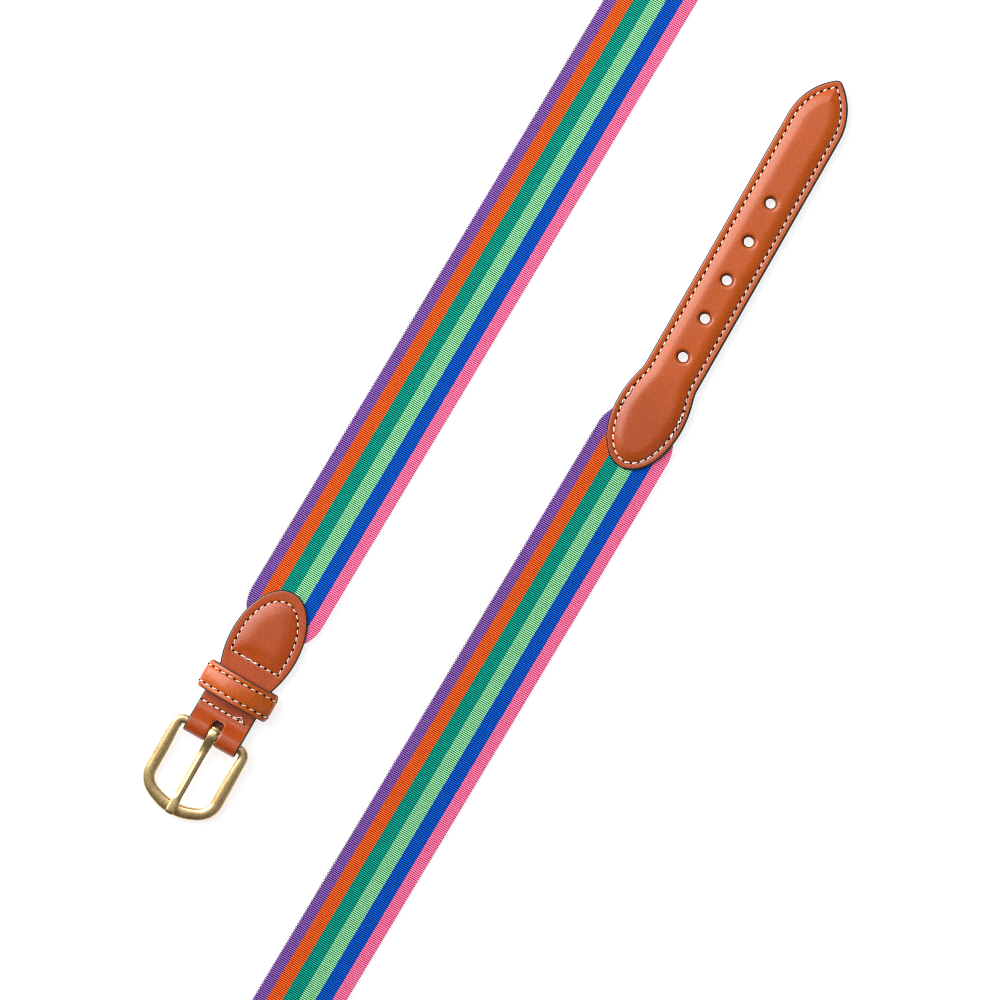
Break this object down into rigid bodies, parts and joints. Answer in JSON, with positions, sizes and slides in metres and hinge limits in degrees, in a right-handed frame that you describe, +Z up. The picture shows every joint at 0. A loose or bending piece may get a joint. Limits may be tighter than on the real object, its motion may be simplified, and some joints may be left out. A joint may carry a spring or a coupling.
{
  "type": "luggage strap",
  "caption": "Long striped woven luggage strap with a punched, pointed leather tip, a folded leather end with a sliding keeper, and a hinged frame buckle with a tongue.",
  "frame": {"origin": "centre of the middle size hole in the leather tip, on the surface that the strap lies on", "axes": "+Y along the leather tip towards its point, +X across the strap, +Z up through the leather"},
  "size_m": [0.389, 0.761, 0.035],
  "materials": {
    "web": "plain woven cotton",
    "ribbon": "ribbed ribbon in lengthwise stripes of purple, orange, teal, light green, blue and pink",
    "strap_leather": "smooth tan leather with dark painted edges",
    "lining_leather": "smooth tan leather",
    "filler_leather": "split leather packing",
    "keeper_leather": "smooth tan leather, a little lighter",
    "brass": "polished, slightly aged"
  },
  "bodies": {
    "strap": {"web_core": "web", "ribbon_face": "ribbon", "tip_back_leather": "lining_leather", "tip_filler": "filler_leather", "tip_front_leather": "strap_leather", "chape_leather": "strap_leather", "chape_filler": "filler_leather", "fold_filler": "filler_leather"},
    "keeper": {"keeper_loop": "keeper_leather"},
    "frame": {"buckle_frame": "brass"},
    "tongue": {"buckle_tongue": "brass"}
  },
  "joints": [
    {"name": "frame_hinge", "type": "hinge", "parent": "strap", "child": "frame", "pos_m": [-0.0949, -0.2791, 0.0043], "axis": [-1, 0, 0], "range_deg": [0, 50]},
    {"name": "tongue_hinge", "type": "hinge", "parent": "frame", "child": "tongue", "pos_m": [-0.0949, -0.2791, 0.0043], "axis": [-1, 0, 0], "range_deg": [0, 90]},
    {"name": "keeper_slide", "type": "slide", "parent": "strap", "child": "keeper", "axis": [0, -1, 0], "range_m": [-0.003, 0.004]}
  ]
}
